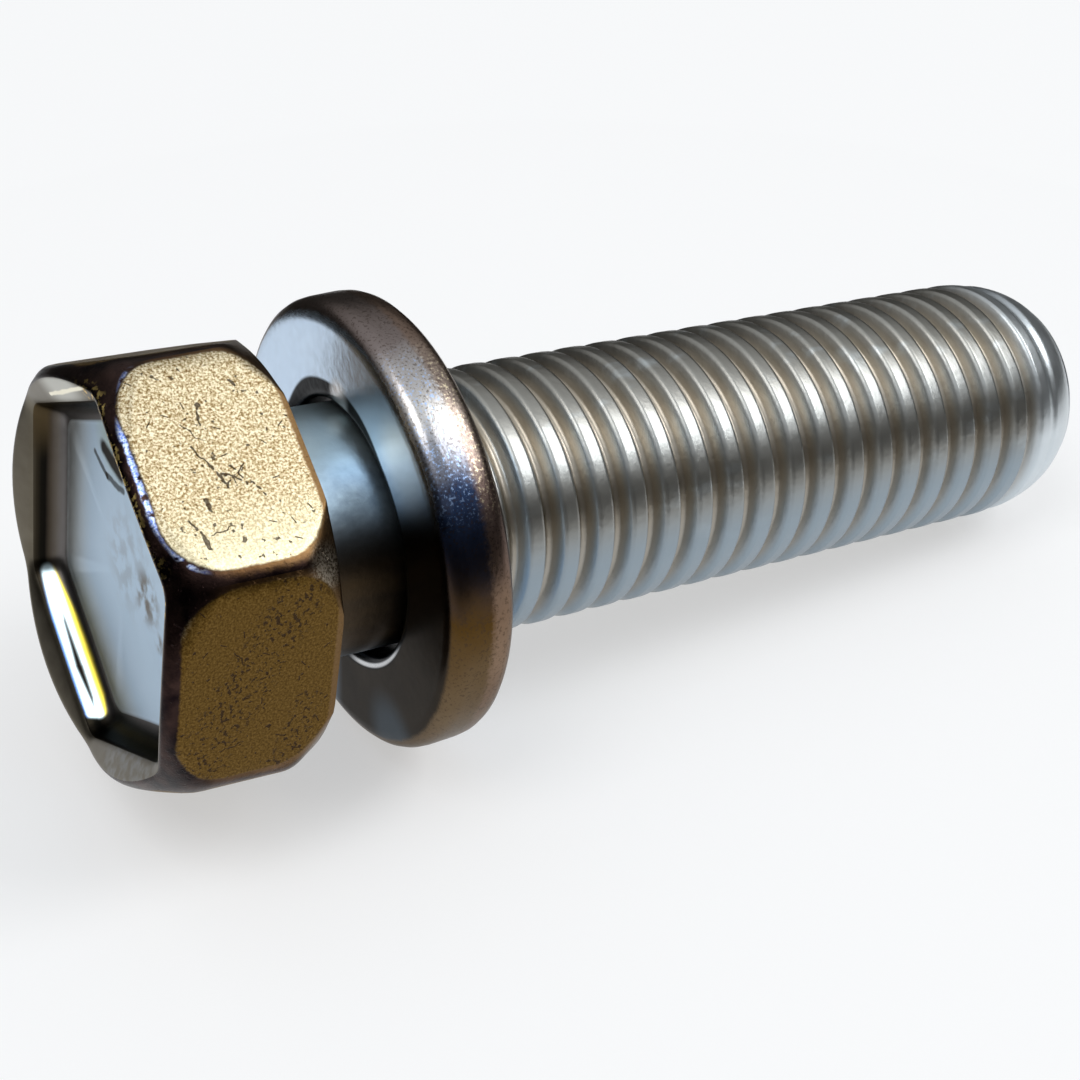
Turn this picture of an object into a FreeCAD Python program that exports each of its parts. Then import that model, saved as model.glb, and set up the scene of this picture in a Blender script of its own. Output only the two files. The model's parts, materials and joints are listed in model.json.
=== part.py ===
import FreeCAD, Part
import math
import os

import Sketcher
from FreeCAD import Placement, Rotation, Vector

# An indented hexagon head bolt, M12 x 1.75, 43 long under the head, with a captive plain washer.
# Lengths are in millimetres and angles in degrees.
# The bolt's own frame: its axis is Z, the bearing face of the head is at z = 0,
# the head is below it and the shank runs up to the tip.
# Both pieces are then laid on the floor z = 0, on the washer's rim and the tip of the thread.

SIZES = {
    "across_flats": 17.0,
    "head_height": 7.2,
    "corner_round": 1.3,
    "top_chamfer_width": 0.4,
    "top_chamfer_height": 0.4,
    "rim_slope_width": 1.3,
    "rim_slope_angle": 25.5,
    "bearing_diameter": 17.6,
    "bearing_chamfer_angle": 60.0,
    "recess_across_flats": 14.55,
    "recess_depth": 1.8,
    "recess_taper": 24.5,
    "recess_corner_round": 1.0,
    "neck_diameter": 10.7,
    "neck_fillet": 0.5,
    "neck_length": 7.7,
    "runout_length": 1.6,
    "thread_diameter": 11.85,
    "length_under_head": 43.0,
    "tip_length": 3.2,
    "tip_shoulder_diameter": 11.0,
    "tip_end_length": 1.4,
    "tip_end_diameter": 9.0,
    "tip_round": 0.5,
    "washer_diameter": 19.7,
    "washer_thickness": 3.0,
    "washer_bore_gap": 0.3,
    "washer_rim_round": 0.9,
    "washer_bore_chamfer": 0.6,
    "washer_clearance": 0.05,
    "washer_lean": 3.5,
    "head_roll": 2.9,
}

HEXAGON_SIDES = 6
HALF_SIDE_ANGLE = 180 / HEXAGON_SIDES
ROUND_STEPS = 3
FIT_STEPS = 12
SKETCH_SPREAD = 10.0
SAME_PLACE = 1e-4

os.makedirs("parts", exist_ok=True)
doc = FreeCAD.newDocument("captive_washer_bolt")


def make_sheet():
    """Keep every driving size in one sheet, under its own name."""
    sheet = doc.addObject("Spreadsheet::Sheet", "sizes")
    for row, (alias, value) in enumerate(SIZES.items(), start=1):
        sheet.set(f"A{row}", alias)
        sheet.set(f"B{row}", str(value))
        sheet.setAlias(f"B{row}", alias)
    doc.recompute()
    return sheet


sheet = make_sheet()


def size(alias):
    """The value of one named size, read back from the sheet."""
    return float(getattr(sheet, alias))


def new_body(label):
    body = doc.addObject("PartDesign::Body", label)
    body.Label = label
    return body


def origin_plane(body, role):
    return next(item for item in body.Origin.OriginFeatures if item.Role == role)


def new_sketch(body, name, role):
    sketch = body.newObject("Sketcher::SketchObject", name)
    sketch.AttachmentSupport = [(origin_plane(body, role), "")]
    sketch.MapMode = "FlatFace"
    return sketch


def add_profile(sketch, points):
    """Draw a closed outline whose corners are each held by two named sizes."""
    count = len(points)
    doc.recompute()
    start = [Vector(SKETCH_SPREAD + index, SKETCH_SPREAD * index, 0) for index in range(count)]
    for index in range(count):
        sketch.addGeometry(Part.LineSegment(start[index], start[(index + 1) % count]), False)
    for index in range(count):
        sketch.addConstraint(Sketcher.Constraint("Coincident", index, 2, (index + 1) % count, 1))
    for index, point in enumerate(points):
        for kind, expression in zip(("DistanceX", "DistanceY"), point):
            name = f"{kind}_{index}"
            number = sketch.addConstraint(Sketcher.Constraint(kind, -1, 1, index, 1, 1.0 + index))
            sketch.renameConstraint(number, name)
            sketch.setExpression(f"Constraints.{name}", expression)
    doc.recompute()


def add_revolved(body, kind, name, points):
    """Turn an outline of radius and height about the bolt's axis."""
    sketch = new_sketch(body, name + "_profile", "XZ_Plane")
    add_profile(sketch, points)
    feature = body.newObject(kind, name)
    feature.Profile = sketch
    feature.ReferenceAxis = (sketch, ["V_Axis"])
    feature.Angle = 360.0
    doc.recompute()
    return feature


def edges_where(feature, test):
    """Names of the edges of a feature that pass a test."""
    return [
        f"Edge{number}"
        for number, edge in enumerate(feature.Shape.Edges, start=1)
        if test(edge)
    ]


def faces_where(feature, test):
    """Names of the faces of a feature that pass a test."""
    return [
        f"Face{number}"
        for number, face in enumerate(feature.Shape.Faces, start=1)
        if test(face)
    ]


def add_fillet(body, name, base, test, alias):
    feature = body.newObject("PartDesign::Fillet", name)
    feature.Base = (base, edges_where(base, test))
    feature.setExpression("Radius", f"sizes.{alias}")
    doc.recompute()
    return feature


def radius_of(point):
    return math.hypot(point.x, point.y)


def near(value, target):
    return abs(value - target) < SAME_PLACE


def is_circle_at(edge, radius, height):
    """True for a full circle about the axis at one radius and height."""
    curve = edge.Curve
    if not isinstance(curve, Part.Circle) or not edge.isClosed():
        return False
    return near(curve.Radius, radius) and near(curve.Center.z, height)


def corner_radius():
    """Radius of the sharp corners of the head."""
    return size("across_flats") / 2 / math.cos(math.radians(HALF_SIDE_ANGLE))


def add_hexagon(body, name, flats_expression):
    """A regular hexagon about the axis, with one corner on the X axis."""
    sketch = new_sketch(body, name, "XY_Plane")
    radius = corner_radius()
    turns = [math.tau * n / HEXAGON_SIDES for n in range(HEXAGON_SIDES)]
    corners = [Vector(radius * math.cos(turn), radius * math.sin(turn), 0) for turn in turns]
    for n in range(HEXAGON_SIDES):
        sketch.addGeometry(Part.LineSegment(corners[n], corners[(n + 1) % HEXAGON_SIDES]), False)
    circle = sketch.addGeometry(Part.Circle(Vector(0, 0, 0), Vector(0, 0, 1), radius), True)
    for n in range(HEXAGON_SIDES):
        sketch.addConstraint(Sketcher.Constraint("Coincident", n, 2, (n + 1) % HEXAGON_SIDES, 1))
        sketch.addConstraint(Sketcher.Constraint("PointOnObject", n, 1, circle))
        if n:
            sketch.addConstraint(Sketcher.Constraint("Equal", 0, n))
    sketch.addConstraint(Sketcher.Constraint("Coincident", circle, 3, -1, 1))
    sketch.addConstraint(Sketcher.Constraint("PointOnObject", 0, 1, -1))
    number = sketch.addConstraint(Sketcher.Constraint("Radius", circle, radius))
    sketch.renameConstraint(number, "corner_radius")
    sketch.setExpression("Constraints.corner_radius", f"({flats_expression}) / 2 / cos({HALF_SIDE_ANGLE})")
    doc.recompute()
    return sketch


def make_bolt():
    """Head, neck and thread of the bolt, upset and rolled from one piece of wire."""
    body = new_body("hex_bolt")

    shank = add_revolved(body, "PartDesign::Revolution", "shank", [
        ("0", "0"),
        ("sizes.neck_diameter / 2", "0"),
        ("sizes.neck_diameter / 2", "sizes.neck_length"),
        ("sizes.thread_diameter / 2", "sizes.neck_length + sizes.runout_length"),
        ("sizes.thread_diameter / 2", "sizes.length_under_head - sizes.tip_length"),
        ("sizes.tip_shoulder_diameter / 2", "sizes.length_under_head - sizes.tip_end_length"),
        ("sizes.tip_end_diameter / 2", "sizes.length_under_head"),
        ("0", "sizes.length_under_head"),
    ])
    add_fillet(
        body, "tip_edge", shank,
        lambda edge: is_circle_at(edge, size("tip_end_diameter") / 2, size("length_under_head")),
        "tip_round",
    )

    head = body.newObject("PartDesign::Pad", "head")
    head.Profile = add_hexagon(body, "head_outline", "sizes.across_flats")
    head.Reversed = True
    head.setExpression("Length", "sizes.head_height")
    doc.recompute()
    under_head = add_fillet(
        body, "under_head", head,
        lambda edge: is_circle_at(edge, size("neck_diameter") / 2, 0),
        "neck_fillet",
    )

    def is_corner(edge):
        heights = sorted(vertex.Z for vertex in edge.Vertexes)
        return near(heights[0], -size("head_height")) and near(heights[-1], 0) and near(
            radius_of(edge.Vertexes[0].Point), corner_radius())

    add_fillet(body, "head_corners", under_head, is_corner, "corner_round")

    # The six-sided indent that the upsetting punch leaves: a straight pocket whose walls are then sloped.
    top = "-sizes.head_height"
    mouth = add_hexagon(body, "recess_outline", "sizes.recess_across_flats")
    mouth.setExpression("AttachmentOffset.Base.z", top)
    pocket = body.newObject("PartDesign::Pocket", "recess_pocket")
    pocket.Profile = mouth
    pocket.Reversed = True
    pocket.setExpression("Length", "sizes.recess_depth")
    doc.recompute()

    apothem = size("recess_across_flats") / 2
    floor = size("recess_depth") - size("head_height")

    def is_wall(face):
        centre = face.CenterOfMass
        return near(abs(face.normalAt(0, 0).z), 0) and near(radius_of(centre), apothem) and centre.z < floor

    def is_mouth(face):
        return near(face.CenterOfMass.z, -size("head_height"))

    recess = body.newObject("PartDesign::Draft", "recess")
    recess.Base = (pocket, faces_where(pocket, is_wall))
    recess.NeutralPlane = (pocket, faces_where(pocket, is_mouth))
    recess.Reversed = True
    recess.setExpression("Angle", "sizes.recess_taper")
    doc.recompute()
    recess.touch()
    doc.recompute()

    def is_recess_corner(edge):
        low, high = sorted((edge.firstVertex().Point, edge.lastVertex().Point), key=lambda point: point.z)
        return near(high.z, floor) and near(low.z, -size("head_height"))

    add_fillet(body, "recess_corners", recess, is_recess_corner, "recess_corner_round")

    # The shallow cone inside the rim, from its crest down to the indent's six walls.
    crest = "sizes.across_flats / 2 - sizes.top_chamfer_width"
    slope_foot = f"{top} + sizes.rim_slope_width * tan(sizes.rim_slope_angle)"
    add_revolved(body, "PartDesign::Groove", "rim_slope", [
        ("0", top),
        (crest, top),
        (f"{crest} - sizes.rim_slope_width", slope_foot),
        ("0", slope_foot),
    ])

    # The cone round the top, which trims the six corners and opens the indent's corners.
    outside = "sizes.across_flats"
    add_revolved(body, "PartDesign::Groove", "top_chamfer", [
        (crest, top),
        (outside, f"{top} + (sizes.across_flats / 2 + sizes.top_chamfer_width)"
                  " * sizes.top_chamfer_height / sizes.top_chamfer_width"),
        (outside, top),
    ])

    # The cone on the bearing side, which leaves a round bearing face within the six flats.
    add_revolved(body, "PartDesign::Groove", "bearing_chamfer", [
        ("sizes.bearing_diameter / 2", "0"),
        (outside, "0"),
        (outside, f"-({outside} - sizes.bearing_diameter / 2) * tan(sizes.bearing_chamfer_angle)"),
    ])
    return body


def make_washer():
    """The washer, punched from strip, with its rim rolled over by tumbling."""
    body = new_body("plain_washer")
    hole = "sizes.neck_diameter / 2 + sizes.washer_bore_gap"
    half = "sizes.washer_thickness / 2"
    chamfer = "sizes.washer_bore_chamfer"
    below = [
        (f"{hole}", f"-{half} + {chamfer}"),
        (f"{hole} + {chamfer}", f"-{half}"),
    ]
    above = [
        (f"{hole} + {chamfer}", half),
        (f"{hole}", f"{half} - {chamfer}"),
    ]
    add_revolved(body, "PartDesign::Revolution", "ring", below + rim_round(-1) + rim_round(1) + above)
    return body


def rim_round(side):
    """Corners of one rounded edge of the rim: side is -1 for the head's side and 1 for the thread's."""
    turns = [90 * step / ROUND_STEPS for step in range(ROUND_STEPS + 1)]
    if side < 0:
        turns.reverse()
    centre_radius = "sizes.washer_diameter / 2 - sizes.washer_rim_round"
    centre_height = "sizes.washer_thickness / 2 - sizes.washer_rim_round"
    return [
        (f"{centre_radius} + sizes.washer_rim_round * cos({turn})",
         f"{side} * ({centre_height} + sizes.washer_rim_round * sin({turn}))")
        for turn in turns
    ]


def washer_seat():
    """Height of the washer's middle on the bolt's axis, leaning against the thread's first turn."""
    lean = math.radians(size("washer_lean"))
    edge_radius = size("neck_diameter") / 2 + size("washer_bore_gap") + size("washer_bore_chamfer")
    reach = size("washer_thickness") / 2 * math.cos(lean) + edge_radius * math.sin(lean)
    return size("neck_length") - size("washer_clearance") - reach


def washer_support(tilt):
    """Height of the washer's middle above the floor, when its axis is this far from level."""
    rim_round = size("washer_rim_round")
    rim = (size("washer_diameter") / 2 - rim_round) * math.cos(tilt)
    return rim + (size("washer_thickness") / 2 - rim_round) * math.sin(tilt) + rim_round


def tip_corners():
    """Radius and distance from the washer's middle of the corners of the tip that can touch the floor."""
    length = size("length_under_head")
    return [
        (size(f"{name}_diameter") / 2, length - back - washer_seat())
        for name, back in (
            ("thread", size("tip_length")), ("tip_shoulder", size("tip_end_length")), ("tip_end", 0))
    ]


def lie():
    """The slope of the bolt's axis and the height of the washer's middle, both pieces touching the floor."""
    slope = 0.0
    for _ in range(FIT_STEPS):
        middle_height = washer_support(abs(slope - math.radians(size("washer_lean"))))
        across, along = max(
            tip_corners(), key=lambda corner: corner[0] * math.cos(slope) + corner[1] * math.sin(slope))
        slope = math.asin(middle_height / math.hypot(along, across)) - math.atan2(across, along)
    return slope, middle_height


def place(bolt, washer):
    """Lay both pieces on the floor, the tip towards +X, with the middle of the outline at X = 0."""
    slope, middle_height = lie()
    slope = math.degrees(slope)
    to_axis = Rotation(Vector(0, 1, 0), 90 + slope)
    roll = Rotation(Vector(0, 0, 1), size("head_roll"))
    direction = to_axis.multVec(Vector(0, 0, 1))
    middle = Vector(0, 0, middle_height)

    bolt.Placement = Placement(middle - direction * washer_seat(), to_axis * roll)
    upright = Rotation(Vector(0, 1, 0), 90 + slope - size("washer_lean"))
    washer.Placement = Placement(middle, upright)

    boxes = [body.Shape.optimalBoundingBox(False, False) for body in (bolt, washer)]
    centre = (min(box.XMin for box in boxes) + max(box.XMax for box in boxes)) / 2
    for body in (bolt, washer):
        body.Placement.Base = body.Placement.Base - Vector(centre, 0, 0)
    doc.recompute()
    return slope


def check_and_save(bodies):
    for item in doc.Objects:
        if "Invalid" in item.State or "Error" in item.State:
            raise RuntimeError(f"{item.Name} did not build: {item.State}")
    for body in bodies:
        if body.Shape.isNull() or not body.Shape.isValid():
            raise RuntimeError(f"{body.Label} has no valid shape")
    for body in bodies:
        body.Shape.exportStep(f"parts/{body.Label}.step")


bolt = make_bolt()
washer = make_washer()
slope = place(bolt, washer)
check_and_save([bolt, washer])

print(f"axis slope {slope:.3f} degrees, washer middle {washer_seat():.3f} mm from the bearing face")
for body in (bolt, washer):
    box = body.Shape.optimalBoundingBox(False, False)
    print(
        f"{body.Label}: {body.Shape.Volume:.1f} mm3, {len(body.Shape.Faces)} faces, "
        f"x {box.XMin:.2f} to {box.XMax:.2f}, z {box.ZMin:.3f} to {box.ZMax:.2f}"
    )
print(f"common volume {bolt.Shape.common(washer.Shape).Volume:.5f} mm3")
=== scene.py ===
import json
import math

import bmesh
import bpy
import numpy as np
from mathutils import Matrix, Vector


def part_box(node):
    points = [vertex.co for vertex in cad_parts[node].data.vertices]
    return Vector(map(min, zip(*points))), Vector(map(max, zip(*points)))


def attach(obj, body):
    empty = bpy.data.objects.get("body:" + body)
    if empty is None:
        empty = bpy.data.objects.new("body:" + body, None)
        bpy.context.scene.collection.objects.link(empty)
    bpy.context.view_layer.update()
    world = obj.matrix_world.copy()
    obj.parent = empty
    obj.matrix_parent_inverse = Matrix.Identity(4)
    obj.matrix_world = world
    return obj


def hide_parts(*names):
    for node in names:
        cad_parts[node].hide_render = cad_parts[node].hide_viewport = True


# The looks of an indented hexagon head bolt with a captive washer.
# Shapes are worked out in millimetres in each piece's own frame, whose Z is the piece's axis,
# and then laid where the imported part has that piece. Blender's own unit is the metre.

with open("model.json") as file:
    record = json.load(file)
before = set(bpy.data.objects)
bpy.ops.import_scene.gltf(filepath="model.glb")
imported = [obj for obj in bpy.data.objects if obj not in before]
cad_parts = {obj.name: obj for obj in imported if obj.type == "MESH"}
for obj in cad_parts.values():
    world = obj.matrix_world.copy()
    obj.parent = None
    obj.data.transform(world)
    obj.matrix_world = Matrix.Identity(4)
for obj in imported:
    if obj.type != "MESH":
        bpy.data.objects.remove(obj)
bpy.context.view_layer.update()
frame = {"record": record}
MM = 0.001

# The shank, measured from the head's bearing face: neck, thread and rounded tip
NECK_RADIUS = 5.35
NECK_FILLET = 0.5
NECK_START = 1.4
PITCH = 1.75
THREAD_RADIUS = 5.925
THREAD_DEPTH = 0.72
THREAD_START = 7.9
RUNOUT = 3.6
LENGTH = 43.0
TIP_LENGTH = 4.0
TIP_SMOOTH = 1.9
TIP_END_RADIUS = 4.35
TIP_EDGE_ROUND = 0.25

# The thread's tooth: the shares of a pitch that are crest and root, how straight the flanks are,
# and how many times sooner along the run-out the crest has grown than the root
CREST_SHARE = 0.36
ROOT_SHARE = 0.13
FLANK_STRAIGHTNESS = 0.4
CREST_GROWTH = 2.2

# The head, which lies at negative heights, with its bearing face at 0. HEAD_ROLL is its turn in degrees.
# A cone cuts its corners by the bearing face, and widens by BEARING_CONE for each millimetre away from it.
SIDES = 6
FLATS = 17.0
HEAD_HEIGHT = 7.2
HEAD_ROLL = 2.9
TOP_CORNER_ROUND = 1.9
BEARING_CORNER_ROUND = 0.95
BEARING_RADIUS = 8.8
BEARING_CONE = 0.577
BEARING_LIP = 0.02
CREST_RADIUS = 8.1
RIM_FLATS = 16.4
RIM_CORNER_ROUND = 1.3
RIM_DEPTH = 0.55
MOUTH_FLATS = 14.1
MOUTH_HEIGHT = RIM_DEPTH - HEAD_HEIGHT
FLOOR_FLATS = 12.9
RECESS_DEPTH = 1.8
RECESS_CORNER_ROUND = 1.0
FLOOR_HEIGHT = RECESS_DEPTH - HEAD_HEIGHT

# How far the head's edges are rounded, from the indent's floor to the bearing face
FLOOR_ROUND = 0.5
MOUTH_ROUND = 0.25
CREST_ROUND = 0.2
LAND_TOP_ROUND = 0.7
LAND_END_ROUND = 0.5
BEARING_ROUND = 0.2

# The washer, with heights from its middle. HEAD_FACE is the height of its face beside the head.
WASHER_RADIUS = 9.85
WASHER_THICKNESS = 3.0
WASHER_HOLE = 5.65
RIM_ROUND = 0.95
BORE_ROUND = 0.55
HEAD_FACE = -WASHER_THICKNESS / 2

# How finely the meshes are divided. Points crowd towards the hexagon's corners on the head,
# and even out again along the neck. A rounding takes at most the share LARGEST_CUT of an edge,
# and points nearer than MEETING_DISTANCE become one.
SEGMENTS = 192
RINGS_PER_PITCH = 16
ROUND_RINGS = 6
CORNER_CROWDING = 0.8
EVEN_OUT_LENGTH = 5.0
LARGEST_CUT = 0.48
MEETING_DISTANCE = 1e-4
TINY = 1e-9
FLAT_FACE_WEIGHT = 60

# The numbers of the hexagon's sides, by the way that they face at rest, with the front towards -Y
LOWER_BACK, BACK, UPPER_FRONT, FRONT, LOWER_FRONT = 0, 1, 3, 4, 5

# The rubbed land on each flat is a rectangle with round corners, placed from the flat's middle line
LAND_SHIFT = 0.2
LAND_HALF_WIDTH = 2.3
LAND_MIDDLE = 3.4
LAND_HALF_HEIGHT = 0.95
LAND_CORNER_ROUND = 2.2

# Marks, given one by one. A straight mark has two ends and a width, and a round one a middle and a radius.
# On a flat they are placed across it and along the bolt, and elsewhere in the piece's own frame.
FLAT_SCRATCHES = [
    ((-2.5, -3.5, 0), (-1.9, -3.75, 0), 0.20), ((-1.9, -3.75, 0), (-1.4, -3.7, 0), 0.13),
    ((-0.8, -4.4, 0), (0.1, -3.9, 0), 0.11), ((0.1, -3.9, 0), (1.0, -3.5, 0), 0.18),
    ((1.0, -3.6, 0), (0.2, -2.6, 0), 0.12), ((0.2, -3.2, 0), (1.6, -2.2, 0), 0.12),
    ((0.5, -3.6, 0), (0.9, -2.9, 0), 0.15), ((1.4, -4.5, 0), (1.9, -4.5, 0), 0.20),
    ((2.7, -5.15, 0), (3.4, -5.0, 0), 0.20), ((2.1, -5.4, 0), (2.5, -5.2, 0), 0.14),
    ((-3.3, -2.0, 0), (-2.8, -1.6, 0), 0.12),
]
FLAT_STREAKS = [((-3.6, -2.0, 0), (3.0, -5.6, 0), 3.4), ((1.5, -1.2, 0), (4, -2, 0), 2)]
BARED_CORNER = ((-4.5, -8.1, -0.6), 1.2)
CREST_FLECKS = ((-7.6, -3.2, -7.0), 5.5)
RIM_MOTTLE = ((5.9, -4.6, -6.8), 4.2)
# The rim's pale spot is a painted sheen and its bright streak a painted highlight.
RIM_PAINTED_SHEEN = ((-7.6, 3.2, -7.1), 2.8)
RIM_PAINTED_HIGHLIGHT = ((-6.0, 4.4, -6.83), (-8.3, 0.8, -6.87), 0.26)
FLOOR_GREY_SPOT = ((-5.6, 1.2, FLOOR_HEIGHT), 2.6)
# On the washer's face: a bluish grey spot of painted shade, a painted white highlight and a painted glint.
WASHER_PAINTED_SHADE_SPOT = ((7.6, -5.0, HEAD_FACE), 2.4)
WASHER_PAINTED_HIGHLIGHT = ((-6.1, -5.4, HEAD_FACE), 2.6)
WASHER_GLINT = ((-6.25, 0.2, HEAD_FACE), 1.0)

# Marks on the indent's floor, which end with their strength
FLOOR_SMUDGES = [
    ((-0.4, -2.6, FLOOR_HEIGHT), 1.5, 1.0), ((0.9, -3.8, FLOOR_HEIGHT), 0.6, 1.0),
    ((-0.8, -0.6, FLOOR_HEIGHT), 3.0, 0.35),
]
# Dark strokes painted as the shade of a dent.
FLOOR_DENT_SHADE = [
    ((-3.8, 3.2, FLOOR_HEIGHT), (-3.4, 1.9, FLOOR_HEIGHT), 0.35, 0.8),
    ((-3.4, 1.9, FLOOR_HEIGHT), (-3.7, 0.2, FLOOR_HEIGHT), 0.45, 0.8),
    ((-4.5, 2.3, FLOOR_HEIGHT), (-4.3, 0.5, FLOOR_HEIGHT), 1.0, 1.0),
]

# The outline of the leaf-shaped glint on the indent's walls: its corners, with the line's width after each
LEAF_LOOP = [
    ((4.05, 6.55, -6.12), 0.85), ((5.3, 4.6, -6.40), 0.75), ((6.5, 2.75, -6.50), 0.70),
    ((7.5, 0.8, -6.34), 0.75), ((7.45, 0.55, -5.98), 0.80), ((7.0, 1.1, -5.84), 0.80),
    ((6.2, 2.5, -5.80), 0.85), ((5.1, 4.4, -5.86), 0.85),
]

# The studio. A lamp has a place in millimetres, a size in metres and a power in watts.
LAMPS = [("key", (700, -420, 840), 0.55, 5.0), ("top", (-450, -150, 930), 0.5, 2.6)]
LAMP_TARGET = (0, 0, 10)
FLOOR_REACH = 3000
CARD_RADIUS = 62
CARD_HEIGHT = 42
CARD_SIDES = 48

# The photograph's camera, placed from the middle of the head's bearing face, with its roll in degrees
CAMERA_PLACE = (-25.006, -62.328, 46.129)
CAMERA_VIEW = (0.43917, 0.69641, -0.56757)
CAMERA_ROLL = 1.06
CAMERA_SENSOR = 36
CAMERA_LENS = 65


def own_frame(origin, axis, turn=0.0):
    """The matrix from a piece's own millimetres to the part's metres.

    Its X points down and its Y to the back, before it is turned about the axis by some degrees.
    """
    z = Vector(axis).normalized()
    y = Vector((0, 1, 0))
    x = y.cross(z)
    turned = Matrix((x, y, z)).transposed() @ Matrix.Rotation(math.radians(turn), 3, "Z")
    return Matrix.Translation(origin) @ turned.to_4x4() @ Matrix.Diagonal((MM, MM, MM, 1))


mounts = {mount["name"]: mount for mount in frame["record"]["mounts"]}
bolt_axis = -Vector(mounts["wrench_hexagon"]["axis"])
bearing_centre = Vector(mounts["wrench_hexagon"]["pos_m"]) + bolt_axis * HEAD_HEIGHT / 2 * MM
bolt_frame = own_frame(bearing_centre, bolt_axis, HEAD_ROLL)
low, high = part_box("plain_washer")
washer_frame = own_frame((low + high) / 2, mounts["clamping_face"]["axis"])

even_angles = np.linspace(0, math.tau, SEGMENTS + 1)
crowded_angles = even_angles - CORNER_CROWDING * np.sin(SIDES * even_angles) / SIDES


def hexagon(angle, flats, corner_round):
    """Radius of a hexagon with rounded corners, one of which is on the X axis."""
    side = math.pi / SIDES
    from_corner = np.abs((angle + side) % (2 * side) - side)
    flat = flats / 2 / np.cos(side - from_corner)
    centre = (flats / 2 - corner_round) / math.cos(side)
    beside = np.sqrt(np.maximum(corner_round ** 2 - (centre * np.sin(from_corner)) ** 2, 0))
    arc = centre * np.cos(from_corner) + beside
    tangent = math.atan2(corner_round * math.sin(side), centre + corner_round * math.cos(side))
    return np.where(from_corner < tangent, arc, flat)


def ring(angles, radius, height):
    """Points at a radius and a height, each of which may vary over the angles."""
    same = np.ones_like(angles)
    return np.stack([radius * np.cos(angles), radius * np.sin(angles), height * same], axis=-1)


def rounded(angles, corners, rounds):
    """Rings along a line of corners (radius, height), each of which is rounded by its own reach."""
    points = [ring(angles, *corner) for corner in corners]
    rings = [points[0]]
    for before, here, after, reach in zip(points, points[1:], points[2:], rounds):
        back, ahead = before - here, after - here
        back_length = np.linalg.norm(back, axis=-1, keepdims=True) + TINY
        ahead_length = np.linalg.norm(ahead, axis=-1, keepdims=True) + TINY
        cut = np.minimum(np.minimum(back_length, ahead_length) * LARGEST_CUT, reach)
        first = here + back / back_length * cut
        last = here + ahead / ahead_length * cut
        for step in np.linspace(0, 1, ROUND_RINGS):
            rings.append((1 - step) ** 2 * first + 2 * step * (1 - step) * here + step ** 2 * last)
    rings.append(points[-1])
    return rings


def middle_of_round(number):
    """The ring in the middle of a rounded corner, with the first of those corners as number 1."""
    return number * ROUND_RINGS - ROUND_RINGS // 2


def skin(name, rings, finishes, place):
    """A mesh over the rings. Points that meet become one, which also closes the ends and the seam.

    finishes is a list of (first ring, material). Each point keeps its own millimetres in the attribute own.
    """
    count = SEGMENTS + 1
    faces = [
        (row * count + step, row * count + step + 1, (row + 1) * count + step + 1, (row + 1) * count + step)
        for row in range(len(rings) - 1) for step in range(SEGMENTS)
    ]
    mesh = bpy.data.meshes.new(name)
    mesh.from_pydata(np.concatenate(rings).tolist(), [], faces)
    for number, (first_ring, finish) in enumerate(finishes):
        mesh.materials.append(finish)
        for face in mesh.polygons[first_ring * SEGMENTS:]:
            face.material_index = number
    work = bmesh.new()
    work.from_mesh(mesh)
    bmesh.ops.remove_doubles(work, verts=work.verts, dist=MEETING_DISTANCE)
    work.to_mesh(mesh)
    work.free()
    own = np.empty(3 * len(mesh.vertices), dtype=np.float32)
    mesh.vertices.foreach_get("co", own)
    mesh.attributes.new("own", "FLOAT_VECTOR", "POINT").data.foreach_set("vector", own)
    mesh.transform(place)
    mesh.shade_smooth()
    made = bpy.data.objects.new(name, mesh)
    bpy.context.collection.objects.link(made)
    flatter = made.modifiers.new("flat_faces", "WEIGHTED_NORMAL")
    flatter.weight = FLAT_FACE_WEIGHT
    return made


def head_rings():
    """The head, from the middle of the indent's floor, over the rim and the flats, to the neck."""
    angles = crowded_angles
    floor_edge = hexagon(angles, FLOOR_FLATS, RECESS_CORNER_ROUND)
    mouth = hexagon(angles, MOUTH_FLATS, RECESS_CORNER_ROUND)
    slope = RIM_DEPTH / (hexagon(angles, RIM_FLATS, RIM_CORNER_ROUND) - mouth)
    crest = (RIM_DEPTH + slope * mouth + CREST_RADIUS) / (1 + slope)
    land_top = hexagon(angles, FLATS, TOP_CORNER_ROUND)
    land_end = hexagon(angles, FLATS, BEARING_CORNER_ROUND)
    cone_top = -np.maximum(land_end - BEARING_RADIUS, 0) / BEARING_CONE
    corners = [
        (0, FLOOR_HEIGHT), (floor_edge, FLOOR_HEIGHT), (mouth, MOUTH_HEIGHT),
        (crest, crest - CREST_RADIUS - HEAD_HEIGHT), (land_top, land_top - CREST_RADIUS - HEAD_HEIGHT),
        (land_end, cone_top - BEARING_LIP), (np.minimum(land_end, BEARING_RADIUS), 0),
        (NECK_RADIUS, 0), (NECK_RADIUS, NECK_START),
    ]
    rounds = [
        FLOOR_ROUND, MOUTH_ROUND, CREST_ROUND, LAND_TOP_ROUND, LAND_END_ROUND, BEARING_ROUND, NECK_FILLET,
    ]
    return rounded(angles, corners, rounds)


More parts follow.
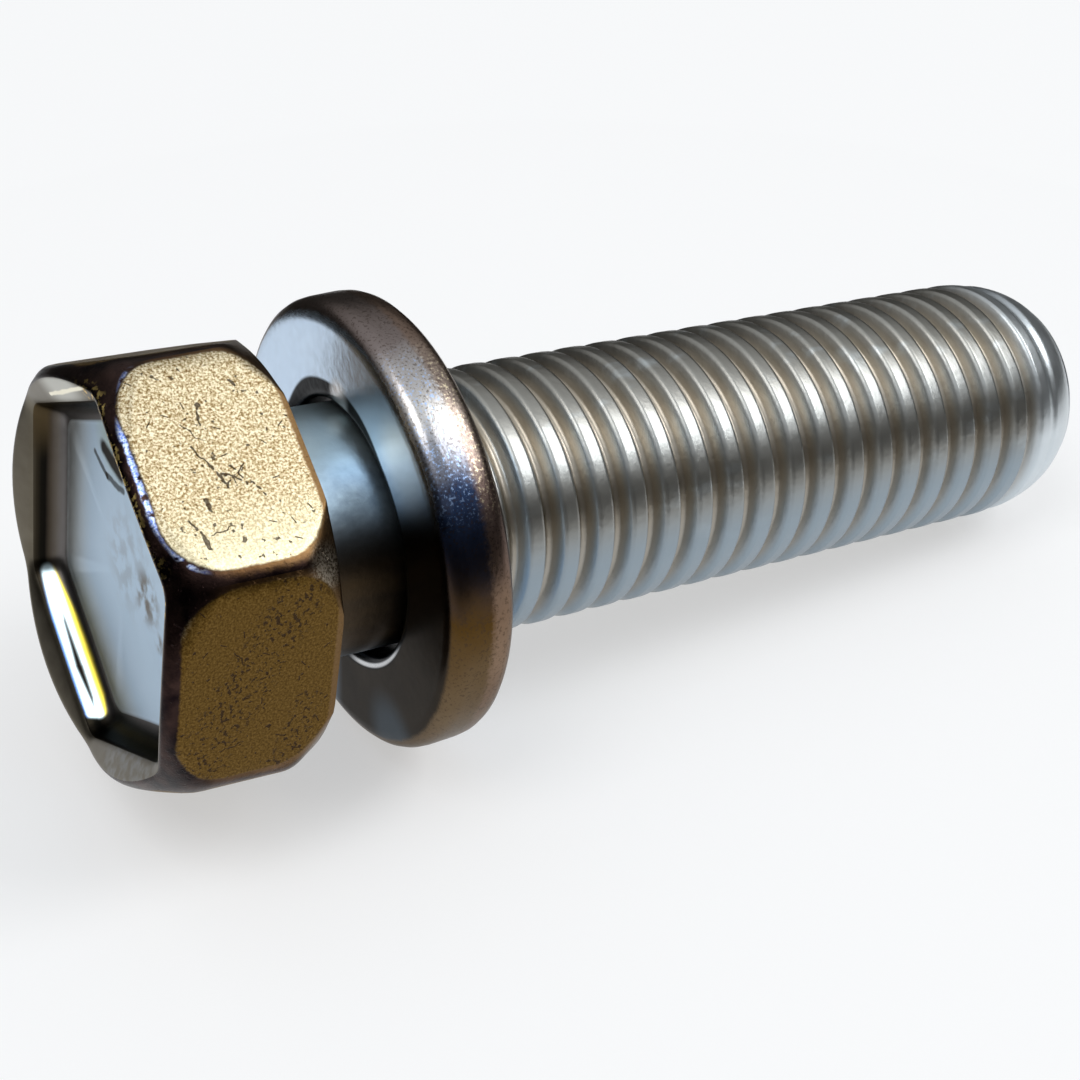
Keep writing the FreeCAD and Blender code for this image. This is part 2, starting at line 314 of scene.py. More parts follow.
def thread_rings():
    """The neck, the right-hand thread and the rounded tip. Each ring climbs with the thread's helix."""
    end = LENGTH - TIP_EDGE_ROUND
    step = PITCH / RINGS_PER_PITCH
    rings = []
    for climb in np.arange(0, end - NECK_START + PITCH + step, step):
        evenness = min(1, max(0, (climb - PITCH) / EVEN_OUT_LENGTH))
        angles = crowded_angles + (even_angles - crowded_angles) * evenness
        height = np.clip(NECK_START + climb + PITCH * (angles / math.tau - 1), NECK_START, end)
        from_crest = abs(climb / PITCH % 1.0 - 0.5) * 2
        straight = min(1, max(0, (from_crest - CREST_SHARE) / (1 - CREST_SHARE - ROOT_SHARE)))
        curved = straight * straight * (3 - 2 * straight)
        tooth = FLANK_STRAIGHTNESS * straight + (1 - FLANK_STRAIGHTNESS) * curved
        grown = np.clip((height - THREAD_START) / RUNOUT, 0, 1)
        faded = np.clip((LENGTH - TIP_SMOOTH - height) / PITCH, 0, 1)
        crest = NECK_RADIUS + (THREAD_RADIUS - NECK_RADIUS) * np.minimum(1, grown * CREST_GROWTH)
        root = NECK_RADIUS + (THREAD_RADIUS - THREAD_DEPTH - NECK_RADIUS) * grown
        into_tip = np.maximum(0, height - (LENGTH - TIP_LENGTH)) / TIP_LENGTH
        limit = TIP_END_RADIUS + (THREAD_RADIUS - TIP_END_RADIUS) * np.sqrt(1 - into_tip ** 2)
        cut = (crest - root) * tooth * faded
        rings.append(ring(angles, np.minimum(crest, limit) - cut, height))
    for turn in np.linspace(0, math.pi / 2, ROUND_RINGS)[1:]:
        inward = limit[0] - TIP_EDGE_ROUND * (1 - math.cos(turn))
        rings.append(ring(even_angles, inward, end + TIP_EDGE_ROUND * math.sin(turn)))
    rings.append(ring(even_angles, 0, LENGTH))
    return rings


def make_bolt():
    """The bolt as one skin: indent, rim, flats, bearing face, neck, thread and tip."""
    finishes = [
        (0, indent_finish()), (middle_of_round(2), rim_finish()),
        (middle_of_round(3), head_finish()), (middle_of_round(7), shank_finish()),
    ]
    return skin("bolt", head_rings() + thread_rings(), finishes, bolt_frame)


def make_washer():
    """The washer as one skin, from the middle of its hole round its rim and back."""
    half = WASHER_THICKNESS / 2
    corners = [
        (WASHER_HOLE, 0), (WASHER_HOLE, -half), (WASHER_RADIUS, -half),
        (WASHER_RADIUS, half), (WASHER_HOLE, half), (WASHER_HOLE, 0),
    ]
    line = rounded(even_angles, corners, [BORE_ROUND, RIM_ROUND, RIM_ROUND, BORE_ROUND])
    return skin("washer", line, [(0, washer_finish())], washer_frame)


class Number:
    """A node's output, used in expressions as a number."""

    def __init__(self, finish, socket):
        self.finish = finish
        self.socket = socket

    def __add__(self, other):
        return self.finish.maths("ADD", self, other)

    def __sub__(self, other):
        return self.finish.maths("SUBTRACT", self, other)

    def __rsub__(self, other):
        return self.finish.maths("SUBTRACT", other, self)

    def __mul__(self, other):
        return self.finish.maths("MULTIPLY", self, other)

    def __truediv__(self, other):
        return self.finish.maths("DIVIDE", self, other)

    def __rtruediv__(self, other):
        return self.finish.maths("DIVIDE", other, self)

    def __neg__(self):
        return self.finish.maths("MULTIPLY", self, -1.0)

    def __abs__(self):
        return self.finish.maths("ABSOLUTE", self)

    def hypot(self, other):
        """The length of a line that runs this far one way and the other number far across it."""
        return self.finish.maths("SQRT", self * self + other * other)

    __radd__ = __add__
    __rmul__ = __mul__


class Finish:
    """A material or world, whose nodes all come from one method."""

    def __init__(self, owner):
        owner.use_nodes = True
        self.owner = owner
        self.tree = owner.node_tree
        self.tree.nodes.clear()

    def add(self, kind, settings=None, sockets=None, out=0):
        """Make a node, set its settings, then fill its sockets with values or links.

        The answer is one of its outputs, or None for a node that has no output.
        """
        node = self.tree.nodes.new(kind)
        for key, value in (settings or {}).items():
            if key == "stops":
                ramp = node.color_ramp
                while len(ramp.elements) < len(value):
                    ramp.elements.new(0.5)
                for element, (position, colour) in zip(ramp.elements, value):
                    element.position = position
                    element.color = (*colour, 1)
            else:
                setattr(node, key, value)
        for key, value in (sockets or {}).items():
            if isinstance(value, Number):
                self.tree.links.new(value.socket, node.inputs[key])
            elif isinstance(value, tuple) and node.inputs[key].type == "RGBA":
                node.inputs[key].default_value = (*value, 1)
            else:
                node.inputs[key].default_value = value
        return Number(self, node.outputs[out]) if node.outputs else None

    def maths(self, operation, *numbers):
        """Numbers through one maths node."""
        return self.add("ShaderNodeMath", {"operation": operation}, dict(enumerate(numbers)))

    def vector(self, operation, *places, out="Vector"):
        """Places or directions through one vector maths node."""
        return self.add("ShaderNodeVectorMath", {"operation": operation}, dict(enumerate(places)), out)

    def place(self, title):
        """A place kept in the mesh, in millimetres."""
        return self.add("ShaderNodeAttribute", {"attribute_name": title}, out="Vector")

    def split(self, place):
        """The three numbers of a place."""
        return [self.add("ShaderNodeSeparateXYZ", {}, {0: place}, out) for out in range(3)]

    def joined(self, x, y):
        """The place that has these two numbers, and 0 as its third."""
        return self.add("ShaderNodeCombineXYZ", {}, {0: x, 1: y})

    def along(self, place, direction):
        """How far a place lies along a direction."""
        return self.vector("DOT_PRODUCT", place, direction, out="Value")

    def away(self, place, centre):
        """The distance from a place to a centre."""
        return self.vector("DISTANCE", place, centre, out="Value")

    def facing(self, x, y, degrees):
        """How squarely a place round the axis faces a direction, from -1 to 1.

        The degrees run from 0 at the bottom over 90 at the back and 180 at the top to 270 at the front.
        """
        turn = math.radians(degrees)
        return (x * math.cos(turn) + y * math.sin(turn)) / x.hypot(y)

    def noise(self, place, scale, detail=2.0, roughness=0.5, out="Fac"):
        """Soft noise, with about as many waves to a millimetre as its scale."""
        sockets = {"Vector": place, "Scale": scale, "Detail": detail, "Roughness": roughness}
        return self.add("ShaderNodeTexNoise", {}, sockets, out)

    def shaken(self, place, scale, reach):
        """The place moved a little by noise, for crooked marks."""
        centred = self.vector("SUBTRACT", self.noise(place, scale, out="Color"), (0.5, 0.5, 0.5))
        return self.vector("MULTIPLY_ADD", centred, (reach, reach, reach), place)

    def rise(self, value, low, high):
        """0 below low, 1 above high, and smooth between; falls instead when low is above high."""
        sockets = {"Value": value, "From Min": low, "From Max": high}
        return self.add("ShaderNodeMapRange", {"interpolation_type": "SMOOTHSTEP"}, sockets)

    def ramp(self, value, *stops):
        """The colour at a value along a line of stops, each with its position and its colour."""
        return self.add("ShaderNodeValToRGB", {"stops": stops}, {0: value})

    def mix(self, mask, below, above):
        """The colour below where the mask is 0, and above where it is 1."""
        return self.add("ShaderNodeMix", {"data_type": "RGBA"}, {0: mask, 6: below, 7: above}, 2)

    def spot(self, place, centre, radius):
        """1 at a centre, fading to 0 at a radius."""
        return self.rise(self.away(place, centre), radius, radius * 0.3)

    def stroke(self, place, start, end, width):
        """1 on a straight mark between two places, in millimetres, and 0 beside it."""
        run = Vector(end) - Vector(start)
        offset = self.vector("SUBTRACT", place, start)
        share = self.add("ShaderNodeClamp", {}, {"Value": self.along(offset, run / run.length_squared)})
        nearest = self.add("ShaderNodeVectorMath", {"operation": "SCALE"}, {0: run, "Scale": share})
        return self.rise(self.away(offset, nearest), width / 2, width / 5)

    def dashes(self, place, per_mm, length, width, share):
        """Short marks in all directions, one to a cell in a share of the cells.

        per_mm is the number of cells to a millimetre, and the length and width are in millimetres.
        """
        spread = self.vector("MULTIPLY", place, (per_mm, per_mm, 0))
        flat = {"voronoi_dimensions": "2D"}
        cells = {"Vector": spread, "Scale": 1.0}
        cell = self.add("ShaderNodeTexVoronoi", flat, cells, "Position")
        red, green, _ = self.split(self.add("ShaderNodeTexVoronoi", flat, cells, "Color"))
        sockets = {"Vector": self.vector("SUBTRACT", spread, cell), "Angle": red * math.tau}
        x, y, _ = self.split(self.add("ShaderNodeVectorRotate", {"rotation_type": "Z_AXIS"}, sockets))
        reach = length / 2 * per_mm
        across = width / 2 * per_mm
        line = self.rise(abs(y), across, across * 0.4) * self.rise(abs(x), reach, reach * 0.7)
        return line * self.rise(green, share, share - 0.02)

    def metal(self, colour, roughness, height=None, depth=0.01, metallic=1.0, edge=1.0):
        """Close the material with a metal surface. The bump's depth is in millimetres.

        edge is how much of its light the metal keeps where it is seen almost edge-on.
        """
        sockets = {"Base Color": colour, "Roughness": roughness, "Metallic": metallic}
        sockets["Specular Tint"] = (edge, edge, edge)
        if height is not None:
            sockets["Normal"] = self.add("ShaderNodeBump", {}, {"Height": height, "Distance": depth * MM})
        return self.close("ShaderNodeOutputMaterial", self.add("ShaderNodeBsdfPrincipled", {}, sockets))

    def close(self, kind, surface):
        """Lead the surface to the output. The answer is the material or world."""
        self.add(kind, {}, {"Surface": surface})
        return self.owner


def new_finish(name):
    return Finish(bpy.data.materials.new(name))


def side_direction(number):
    """The way that one side of the hexagon faces, in the bolt's own frame."""
    turn = (number + 0.5) * math.tau / SIDES
    return (math.cos(turn), math.sin(turn), 0.0)


def on_flat_of(finish, own, number):
    """1 on one of the head's flats, and 0 elsewhere."""
    return finish.rise(finish.along(own, side_direction(number)), FLATS / 2 - 0.3, FLATS / 2 - 0.1)


def land_edge(finish, across, z):
    """How far a place on a flat lies outside its rubbed land, with places inside it below 0."""
    beside = finish.maths("MAXIMUM", abs(across + LAND_SHIFT) - LAND_HALF_WIDTH, 0.0)
    beyond = finish.maths("MAXIMUM", abs(z + LAND_MIDDLE) - LAND_HALF_HEIGHT, 0.0)
    return beside.hypot(beyond) - LAND_CORNER_ROUND


def flat_marks(finish, own, on_flat, bright_side):
    """Dashes and pits on every flat, scratches on the bright one and frayed streaks on the others."""
    crooked = finish.shaken(on_flat, 2.2, 0.45)
    marks = finish.dashes(crooked, 0.45, 1.2, 0.05, 0.16) + finish.dashes(on_flat, 1.2, 0.35, 0.06, 0.26)
    marks = marks + sum(finish.stroke(crooked, *mark) for mark in FLAT_SCRATCHES) * bright_side
    pits = finish.rise(finish.noise(own, 3.4), 0.34, 0.28)
    frayed = finish.rise(finish.noise(own, 5.5, 3.0, 0.6), 0.45, 0.38)
    streaks = sum(finish.stroke(on_flat, *mark) for mark in FLAT_STREAKS) * frayed * (1 - bright_side)
    return finish.rise(marks + pits * 0.7 + streaks * 0.7, 0.1, 0.8)


def rubbed_and_painted_light_colour(finish, own, across, grain, bright_side):
    """The lands: ochre, and cream where the chromate is rubbed away, most of all on the bright side, where
    the cream is partly wear and partly painted light; the front flat stays dark ochre as painted shade.
    """
    cream = finish.ramp(
        grain, (0.36, (0.17, 0.095, 0.03)), (0.47, (0.47, 0.36, 0.19)), (0.60, (0.86, 0.78, 0.58)))
    cream = finish.mix(finish.rise(across, 1.0, 4.5) * 0.45, cream, (0.98, 0.93, 0.66))
    ochre = finish.ramp(
        grain, (0.32, (0.06, 0.030, 0.006)), (0.50, (0.125, 0.070, 0.014)), (0.66, (0.22, 0.13, 0.035)))
    # No rubbed patches on the front flat: its dark ochre is painted shade.
    worn = finish.rise(finish.noise(own, 0.5, 3.0), 0.28, 0.82) * 0.5 * (1 - on_flat_of(finish, own, FRONT))
    return finish.mix(finish.maths("MAXIMUM", worn, bright_side), ochre, cream)


def stained_colour(finish, own, z, edge, fray, grain):
    """The edges and corners: nearly black, brown by the lands and the bearing face, with a bared corner."""
    patches = finish.noise(own, 0.9, 4.0)
    stain = finish.ramp(patches, (0.36, (0.009, 0.005, 0.006)), (0.70, (0.06, 0.034, 0.028)))
    near_land = finish.rise(edge + fray * 0.3, 0.55, 0.0) * finish.rise(z, -5.9, -4.0)
    brown = finish.mix(finish.rise(z, -4.0, -2.0), (0.13, 0.068, 0.024), (0.22, 0.125, 0.05))
    stain = finish.mix(near_land * 0.7, stain, brown)
    bearing_side = finish.rise(z + fray, -1.9, -0.5) * 0.8
    stain = finish.mix(bearing_side, stain, finish.mix(grain, (0.07, 0.035, 0.012), (0.26, 0.16, 0.07)))
    bare = finish.mix(finish.rise(grain, 0.42, 0.56), (0.09, 0.065, 0.04), (0.42, 0.36, 0.28))
    return finish.mix(finish.spot(own, *BARED_CORNER), stain, bare)


def with_glints(finish, stain, own, z, edge, grain, bright_side):
    """The stain with golden flecks along the crest and a broken blue glint round the bright land's top."""
    crest_side = finish.rise(z, 0.75 - HEAD_HEIGHT, 0.4 - HEAD_HEIGHT)
    flecks = finish.rise(finish.noise(own, 4.2), 0.53, 0.59) * crest_side * finish.rise(edge, 0.35, 0.55)
    stain = finish.mix(flecks * finish.spot(own, *CREST_FLECKS), stain, (1.0, 0.74, 0.24))
    glint = finish.rise(abs(edge - 0.17), 0.15, 0.04) * finish.rise(z, -5.2, -6.3) * bright_side
    broken = finish.rise(finish.noise(own, 2.5, 3.0), 0.35, 0.5)
    blue = finish.mix(finish.rise(grain, 0.4, 0.6), (0.20, 0.32, 0.90), (0.70, 0.80, 1.0))
    return finish.mix(glint * broken, stain, blue)


def head_finish():
    """Yellow chromate on zinc: rubbed lands with a fine grain, the bright one partly painted light, and dark
    stained edges and corners.
    """
    finish = new_finish("chromated_head")
    own = finish.place("own")
    x, y, z = finish.split(own)
    turn = finish.maths("ARCTAN2", y, x)
    from_middle = finish.maths("WRAP", turn, math.tau / SIDES, 0.0) - math.pi / SIDES
    across = finish.maths("TANGENT", from_middle) * (FLATS / 2)
    fray = finish.noise(own, 4.0, 4.0) - 0.5
    grain = finish.noise(own, 10.0, 3.0, 0.75)
    edge = land_edge(finish, across, z) + fray * 0.14
    land = finish.rise(edge, 0.07, -0.07)
    bright_side = on_flat_of(finish, own, UPPER_FRONT)
    marks = flat_marks(finish, own, finish.joined(across, z), bright_side)
    rubbed = rubbed_and_painted_light_colour(finish, own, across, grain, bright_side)
    rubbed = finish.mix(marks * 0.85, rubbed, (0.027, 0.015, 0.010))
    stain = stained_colour(finish, own, z, edge, fray, grain)
    stain = with_glints(finish, stain, own, z, edge, grain, bright_side)
    roughness = 0.32 + land * 0.12 + (grain - 0.5) * 0.25
    height = grain * 0.45 + land * 0.3 - marks * 0.7
    return finish.metal(finish.mix(land, stain, rubbed), roughness, height, 0.025)


def rim_finish():
    """The slope between the indent and the rim's crest: dull grey-brown, mottled where it is rubbed, with a
    painted pale sheen and a painted highlight streak.
    """
    finish = new_finish("dull_rim")
    own = finish.place("own")
    cloud = finish.noise(own, 0.9, 4.0)
    colour = finish.mix(cloud, (0.10, 0.085, 0.060), (0.22, 0.195, 0.15))
    mottle = finish.rise(finish.noise(own, 2.2, 3.0), 0.35, 0.70) * finish.spot(own, *RIM_MOTTLE)
    colour = finish.mix(mottle, colour, (0.23, 0.23, 0.22))
    # A painted pale sheen, then a painted highlight streak.
    colour = finish.mix(finish.spot(own, *RIM_PAINTED_SHEEN) * 0.8, colour, (0.62, 0.62, 0.57))
    highlight_streak = finish.stroke(finish.shaken(own, 1.0, 0.15), *RIM_PAINTED_HIGHLIGHT)
    colour = finish.mix(highlight_streak, colour, (0.98, 0.93, 0.76))
    upper_front = finish.rise(finish.along(own, side_direction(UPPER_FRONT)), 6, 7)
    flecks = finish.rise(finish.noise(own, 4.0), 0.58, 0.64) * upper_front
    colour = finish.mix(flecks, colour, (0.75, 0.52, 0.18))
    roughness = 0.30 + cloud * 0.15
    return finish.metal(colour, roughness, cloud, 0.008)


def floor_colour(finish, own, cloud):
    """Pale bluish zinc with a painted lighter sheen beside the back walls, smudges, and dark strokes painted
    as the shade of a dent.
    """
    pale = finish.mix(cloud, (0.61, 0.77, 0.92), (0.69, 0.84, 1.0))
    pale = finish.mix(finish.spot(own, *FLOOR_GREY_SPOT) * 0.7, pale, (0.49, 0.60, 0.54))
    # Painted sheen: the floor lighter beside the back walls.
    toward_walls = [finish.along(own, side_direction(side)) for side in (BACK, LOWER_BACK)]
    painted_sheen_by_walls = finish.rise(finish.maths("MAXIMUM", *toward_walls), 3.2, 6.0) * 0.9
    pale = finish.mix(painted_sheen_by_walls, pale, (0.95, 1.0, 1.0))
    smudges = sum(finish.spot(own, *mark) * strength for *mark, strength in FLOOR_SMUDGES)
    blotch = finish.rise(finish.noise(own, 1.3, 4.0), 0.38, 0.62)
    pale = finish.mix(smudges * blotch * 0.75, pale, (0.21, 0.16, 0.11))
    # The dent's painted shade, in dark crooked strokes.
    crooked = finish.shaken(own, 1.2, 0.25)
    dent = sum(finish.stroke(crooked, *mark) * strength for *mark, strength in FLOOR_DENT_SHADE)
    return finish.mix(finish.maths("MINIMUM", dent, 1.0) * 0.97, pale, (0.03, 0.022, 0.016))


def wall_painted_shade(finish, own, height, cloud):
    """Painted shade in the recess: grey at the floor to almost black, the chromate's golden brown darkened
    high on the back wall, and nearly black on the lower front wall.
    """
    up_wall = finish.rise(height + (cloud - 0.5) * 0.2, FLOOR_HEIGHT + 0.05, MOUTH_HEIGHT - 0.1)
    # Painted shade up the wall, blackest half-way up.
    wall = finish.ramp(
        up_wall, (0.05, (0.15, 0.14, 0.135)), (0.20, (0.11, 0.095, 0.080)), (0.42, (0.055, 0.043, 0.032)),
        (0.60, (0.007, 0.006, 0.005)), (0.76, (0.009, 0.008, 0.006)), (0.90, (0.030, 0.024, 0.016)),
        (0.96, (0.06, 0.05, 0.035)), (1.0, (0.11, 0.10, 0.08)))
    back_wall = finish.rise(finish.along(own, side_direction(BACK)), 5.5, 6.3)
    # The chromate's golden brown, darkened as painted shade, high on the back wall.
    golden = finish.rise(finish.along(own, (1, 0, 0)), -1.2, -3.6) * back_wall
    wall = finish.mix(golden * finish.rise(up_wall, 0.3, 0.6) * 0.8, wall, (0.085, 0.060, 0.030))
    # Painted shade: nearly black on the lower front wall.
    front_wall = finish.rise(finish.along(own, side_direction(LOWER_FRONT)), 6.0, 6.4)
    return finish.mix(front_wall * 0.6, wall, (0.004, 0.004, 0.003))


def with_leaf_glint(finish, wall, own, height):
    """The wall with the leaf-shaped glint's outline, which is blue by the mouth and yellow by the floor."""
    loop = 0.0
    for (start, width), (end, _) in zip(LEAF_LOOP, LEAF_LOOP[1:] + LEAF_LOOP[:1]):
        loop = finish.maths("MAXIMUM", loop, finish.stroke(own, start, end, width))
    glow = finish.mix(finish.rise(height, -6.38, -6.56), (0.75, 0.93, 1.0), (0.25, 0.45, 1.0))
    glow = finish.mix(finish.rise(height, -5.98, -5.78), glow, (1.0, 0.80, 0.10))
    return finish.mix(loop * loop, wall, glow)


def indent_finish():
    """The pressed indent: smooth pale zinc on its floor, with a dent's painted shade and smudges, and its
    walls painted dark as shade.
    """
    finish = new_finish("pressed_indent")
    own = finish.place("own")
    height = finish.along(own, (0, 0, 1))
    cloud = finish.noise(own, 0.35, 3.0)
    wall = with_leaf_glint(finish, wall_painted_shade(finish, own, height, cloud), own, height)
    on_floor = finish.rise(height, FLOOR_HEIGHT - 0.03, FLOOR_HEIGHT - 0.002)
    colour = finish.mix(on_floor, wall, floor_colour(finish, own, cloud))
    roughness = 0.30 + finish.noise(own, 2.0) * 0.06
    return finish.metal(colour, roughness, finish.noise(own, 3.0), 0.003, edge=0.5)


def thread_colour(finish, x, y, along, cloud):
    """Bright zinc, with painted shade at the top and the front, a darker bluish painted reflection lower at
    the front, and a pale painted highlight towards the tip.
    """
    wrapped = finish.rise(along, LENGTH - 0.1, LENGTH - 1.5)
    steel = finish.mix(cloud, (0.44, 0.46, 0.45), (0.60, 0.63, 0.63))
    # Painted shade at the top and the front.
    dull = finish.rise(finish.facing(x, y, 165), 0.35, 0.9) * 0.6
    dull = dull + finish.rise(finish.facing(x, y, 254), 0.88, 0.99) * 0.5
    steel = finish.mix(dull * finish.rise(cloud, 0.25, 0.45) * wrapped, steel, (0.22, 0.185, 0.135))
    # Painted reflection: darker and bluish lower at the front.
    bluish = finish.rise(finish.facing(x, y, 292), 0.74, 0.97) * 0.9 * wrapped
    steel = finish.mix(bluish, steel, (0.28, 0.345, 0.40))
    # Painted highlight: pale towards the tip.
    return finish.mix(finish.rise(along, LENGTH - 4.2, LENGTH - 2.6) * 0.8, steel, (0.74, 0.80, 0.84))


def neck_colour(finish, x, y, cloud, mottle):
    """Bluish zinc, with a painted pale sheen at the top and dark brown painted shade at the front."""
    steel = finish.mix(mottle, (0.15, 0.21, 0.27), (0.38, 0.49, 0.58))
    # Painted sheen: paler at the top.
    steel = finish.mix(finish.rise(finish.facing(x, y, 172), 0.72, 0.97), steel, (0.52, 0.62, 0.64))
    # Painted shade: dark brown at the front.
    front_painted_shade = finish.mix(cloud, (0.030, 0.027, 0.025), (0.10, 0.065, 0.032))
    return finish.mix(finish.rise(finish.facing(x, y, 275), 0.62, 0.93), steel, front_painted_shade)


def shank_finish():
    """Neck and thread: zinc, turning light brown in the thread's roots."""
    finish = new_finish("zinc_thread")
    own = finish.place("own")
    x, y, along = finish.split(own)
    cloud = finish.noise(finish.vector("MULTIPLY", own, (1, 1, 0.4)), 0.8, 4.0)
    mottle = finish.noise(own, 2.2, 4.0, 0.6)
    neck = finish.rise(along, THREAD_START + 1.0, THREAD_START)
    root = finish.rise(x.hypot(y), THREAD_RADIUS - 0.1, THREAD_RADIUS - THREAD_DEPTH * 0.8) * (1 - neck)
    root = root * finish.rise(along, LENGTH - TIP_SMOOTH, LENGTH - TIP_LENGTH)
    thread_steel = thread_colour(finish, x, y, along, cloud)
    steel = finish.mix(neck, thread_steel, neck_colour(finish, x, y, cloud, mottle))
    colour = finish.mix(root * 0.65, steel, (0.42, 0.35, 0.26))
    roughness = 0.30 + cloud * 0.14 + neck * 0.03
    return finish.metal(colour, roughness, mottle, 0.015)


def face_colour(finish, own, x, y, cloud, shade):
    """Pale bluish steel, painted dark as shade low down and round the hole, with a bluish grey spot of
    painted shade, a painted white highlight and a painted glint along the hole's edge.
    """
    face = finish.mix(cloud, (0.60, 0.74, 0.92), (0.70, 0.84, 1.0))
    face = finish.mix(shade, face, finish.mix(cloud, (0.012, 0.010, 0.008), (0.06, 0.048, 0.036)))
    # A bluish grey spot of painted shade, then a painted white highlight.
    face = finish.mix(finish.spot(own, *WASHER_PAINTED_SHADE_SPOT) * 0.8, face, (0.09, 0.115, 0.14))
    face = finish.mix(finish.spot(own, *WASHER_PAINTED_HIGHLIGHT), face, (1.0, 1.0, 1.0))
    radius = x.hypot(y)
    # Painted shade round the hole, widest at the top where the gap beside the neck is.
    wider = finish.rise(finish.facing(x, y, 172), 0.70, 1.0) * 0.45
    edge = radius + (cloud - 0.5) * 0.1 - wider
    face = finish.mix(finish.rise(edge, WASHER_HOLE + 0.62, WASHER_HOLE + 0.45), face, (0.006, 0.007, 0.009))
    arc = finish.rise(abs(radius - WASHER_HOLE - 0.37), 0.14, 0.03)
    arc = arc * finish.rise(finish.facing(x, y, 322), 0.86, 0.97)
    glint = finish.maths("MINIMUM", arc + finish.spot(own, *WASHER_GLINT), 1.0)
    return finish.mix(glint, face, (0.95, 0.97, 1.0))


def tarnish_and_sheen_colour(finish, own, x, y, z, cloud):
    """Bronze that changes round the rim, browner on the thread's side, partly tarnish and partly painted
    light: the pale stretch is a painted highlight, the blue one a painted dark blue reflection, and bright
    flecks are painted sparkle.
    """
    turn = finish.maths("ARCTAN2", -y, -x) * (1 / math.tau) + 0.5
    # Round the rim, partly bronze tarnish and partly painted light: a pale painted highlight, then a dark
    # blue painted reflection.
    bronze = finish.ramp(
        turn + (cloud - 0.5) * 0.06, (0.0, (0.20, 0.14, 0.09)), (0.35, (0.17, 0.13, 0.11)),
        (0.53, (0.25, 0.205, 0.19)), (0.595, (0.62, 0.60, 0.58)), (0.655, (0.03, 0.055, 0.13)),
        (0.70, (0.04, 0.035, 0.045)), (0.735, (0.085, 0.045, 0.011)), (0.83, (0.17, 0.12, 0.07)),
        (1.0, (0.20, 0.14, 0.09)))
    brown_side = finish.rise(z + (finish.noise(own, 5.0, 3.0, 0.6) - 0.5) * 0.5, 0.1, 0.5)
    bronze = finish.mix(brown_side * 0.7, bronze, finish.mix(cloud, (0.16, 0.10, 0.07), (0.34, 0.23, 0.16)))
    fine = finish.noise(own, 8.0, 3.0, 0.6)
    # Painted sparkle: bright flecks beside the pale painted highlight.
    painted_sparkle = finish.rise(fine, 0.55, 0.66) * finish.rise(finish.facing(x, y, 218), 0.90, 0.99) * 0.8
    bronze = finish.mix(painted_sparkle, bronze, finish.mix(brown_side, (0.42, 0.60, 0.95), (0.95, 0.82, 0.55)))
    return finish.mix(finish.rise(fine, 0.46, 0.36) * 0.55, bronze, (0.055, 0.035, 0.022))


def washer_finish():
    """Pale faces with painted shade low on the head's side, and a rounded rim with a bronze tarnish and
    painted pale and blue stretches of reflected light.
    """
    finish = new_finish("washer_steel")
    own = finish.place("own")
    x, y, z = finish.split(own)
    cloud = finish.noise(own, 0.4, 4.0)
    shade = finish.rise(finish.facing(x, y, 300), 0.30, 0.56) * finish.rise(z, 0.3, -0.3)
    uneven = x.hypot(y) + (finish.noise(own, 1.5, 3.0) - 0.5) * 0.2
    rim = finish.rise(uneven, WASHER_RADIUS - 0.60, WASHER_RADIUS - 0.36)
    face = face_colour(finish, own, x, y, cloud, shade)
    colour = finish.mix(rim, face, tarnish_and_sheen_colour(finish, own, x, y, z, cloud))
    grain = finish.noise(finish.vector("MULTIPLY", own, (1, 1, 3)), 2.2, 3.0)
    roughness = 0.24 + rim * 0.06 + (grain - 0.5) * 0.12
    return finish.metal(colour, roughness, grain * (1 - shade * 0.8), 0.012, edge=0.7)


def aimed(name, data, place, direction, roll=0.0):
    """An object that holds a lamp or camera at a place in metres, looks along a direction and is rolled."""
    holder = bpy.data.objects.new(name, data)
    holder.location = place
    holder.rotation_mode = "QUATERNION"
    level = Vector(direction).to_track_quat("-Z", "Y")
    holder.rotation_quaternion = level @ Matrix.Rotation(math.radians(roll), 3, "Z").to_quaternion()
    bpy.context.collection.objects.link(holder)
    return holder


def area_light(name, place, size, power):
    """A square lamp that looks at the object."""
    lamp = bpy.data.lights.new(name, "AREA")
    lamp.shape = "SQUARE"
    lamp.size = size
    lamp.energy = power
    aimed(name, lamp, Vector(place) * MM, Vector(LAMP_TARGET) - Vector(place))


def stage_piece(name, vertices, faces, material):
    """A piece of the studio, with its vertices in millimetres."""
    mesh = bpy.data.meshes.new(name)
    mesh.from_pydata([tuple(Vector(vertex) * MM) for vertex in vertices], [], faces)
    mesh.materials.append(material)
    made = bpy.data.objects.new(name, mesh)
    bpy.context.collection.objects.link(made)
    return made


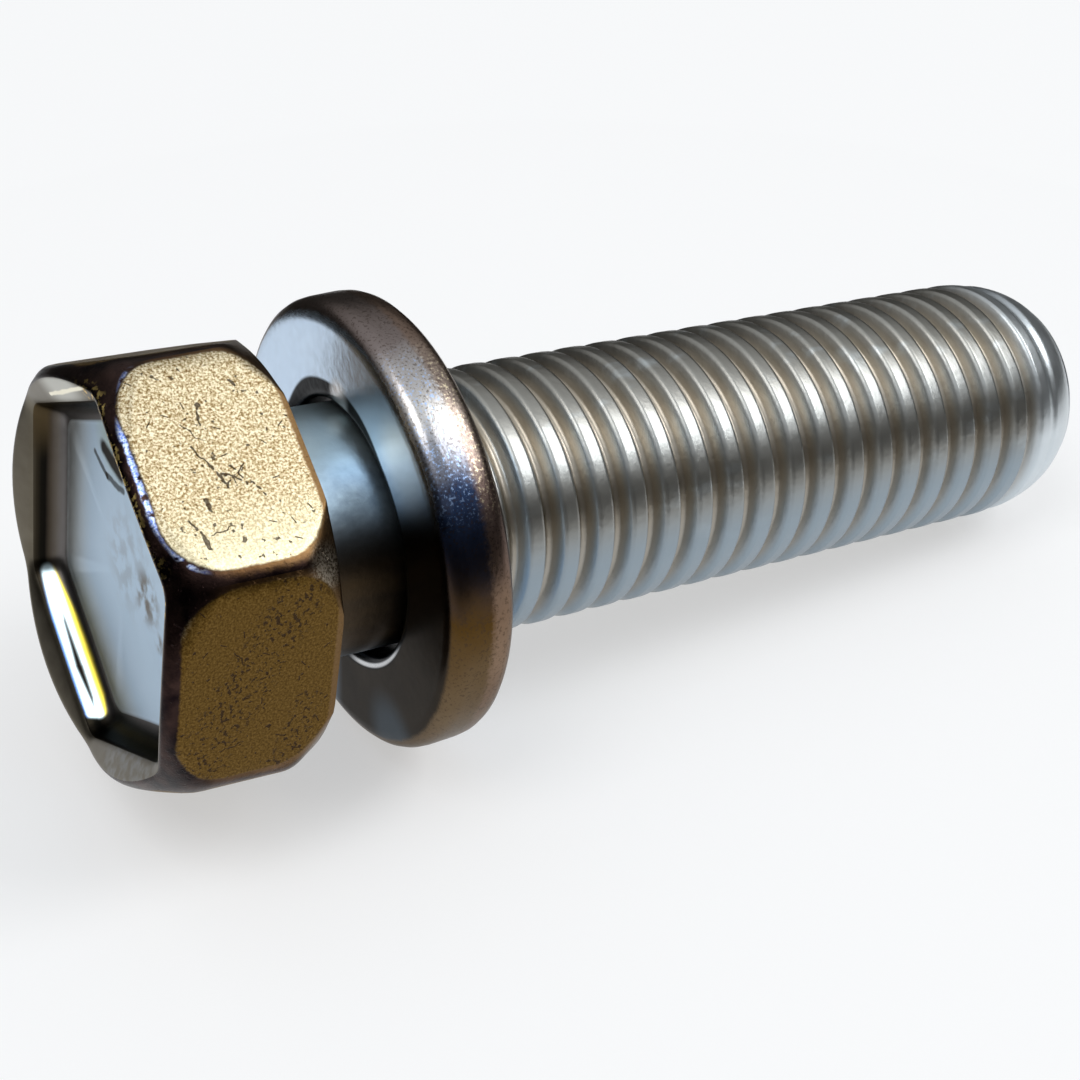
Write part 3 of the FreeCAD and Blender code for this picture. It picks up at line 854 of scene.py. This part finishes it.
def make_floor():
    """A pale floor, half of which is white light where the camera or the metal sees it."""
    finish = new_finish("pale_floor")
    matt = finish.add("ShaderNodeBsdfPrincipled", {}, {"Base Color": (0.92, 0.925, 0.93), "Roughness": 0.75})
    white = finish.add("ShaderNodeEmission", {}, {"Color": (1, 1, 1), "Strength": 1.0})
    seen = sum(finish.add("ShaderNodeLightPath", out=ray) for ray in ("Is Camera Ray", "Is Glossy Ray"))
    surface = finish.add("ShaderNodeMixShader", {}, {0: seen * 0.5, 1: matt, 2: white})
    material = finish.close("ShaderNodeOutputMaterial", surface)
    quarters = [(-1, -1), (1, -1), (1, 1), (-1, 1)]
    corners = [(x * FLOOR_REACH, y * FLOOR_REACH, 0) for x, y in quarters]
    stage_piece("floor", corners, [(0, 1, 2, 3)], material)


def make_dark_surround():
    """A low dark wall round the object, like a photographer's black card, seen only in the metal."""
    turns = [math.tau * step / CARD_SIDES for step in range(CARD_SIDES)]
    lower = [(CARD_RADIUS * math.cos(turn), CARD_RADIUS * math.sin(turn), 0) for turn in turns]
    upper = [(x, y, CARD_HEIGHT) for x, y, _ in lower]
    faces = [
        (here, (here + 1) % CARD_SIDES, CARD_SIDES + (here + 1) % CARD_SIDES, CARD_SIDES + here)
        for here in range(CARD_SIDES)
    ]
    material = new_finish("dark_card").metal((0.02, 0.018, 0.015), 0.9, metallic=0.0)
    card = stage_piece("dark_surround", lower + upper, faces, material)
    card.visible_camera = card.visible_diffuse = card.visible_shadow = False


def make_world():
    """A grey sky that is darkest at the horizon."""
    world = bpy.data.worlds.new("studio")
    bpy.context.scene.world = world
    finish = Finish(world)
    up = finish.along(finish.add("ShaderNodeTexCoord", out="Generated"), (0, 0, 1))
    sky = finish.ramp(up, (0.0, (0.16, 0.15, 0.14)), (0.35, (0.26, 0.25, 0.24)), (1.0, (0.8, 0.85, 0.9)))
    finish.close("ShaderNodeOutputWorld", finish.add("ShaderNodeBackground", {}, {0: sky, 1: 1.0}))


def make_camera():
    """The photograph's camera, whose frame is square."""
    camera = bpy.data.cameras.new("camera")
    camera.sensor_width = CAMERA_SENSOR
    camera.lens = CAMERA_LENS
    camera.clip_start = MM
    place = bearing_centre + Vector(CAMERA_PLACE) * MM
    bpy.context.scene.camera = aimed("camera", camera, place, CAMERA_VIEW, CAMERA_ROLL)


bolt = make_bolt()
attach(bolt, "bolt")
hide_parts("hex_bolt")

washer = make_washer()
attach(washer, "washer")
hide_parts("plain_washer")

make_floor()
make_dark_surround()
make_world()
for lamp in LAMPS:
    area_light(*lamp)
make_camera()
bpy.context.scene.view_settings.view_transform = "Standard"
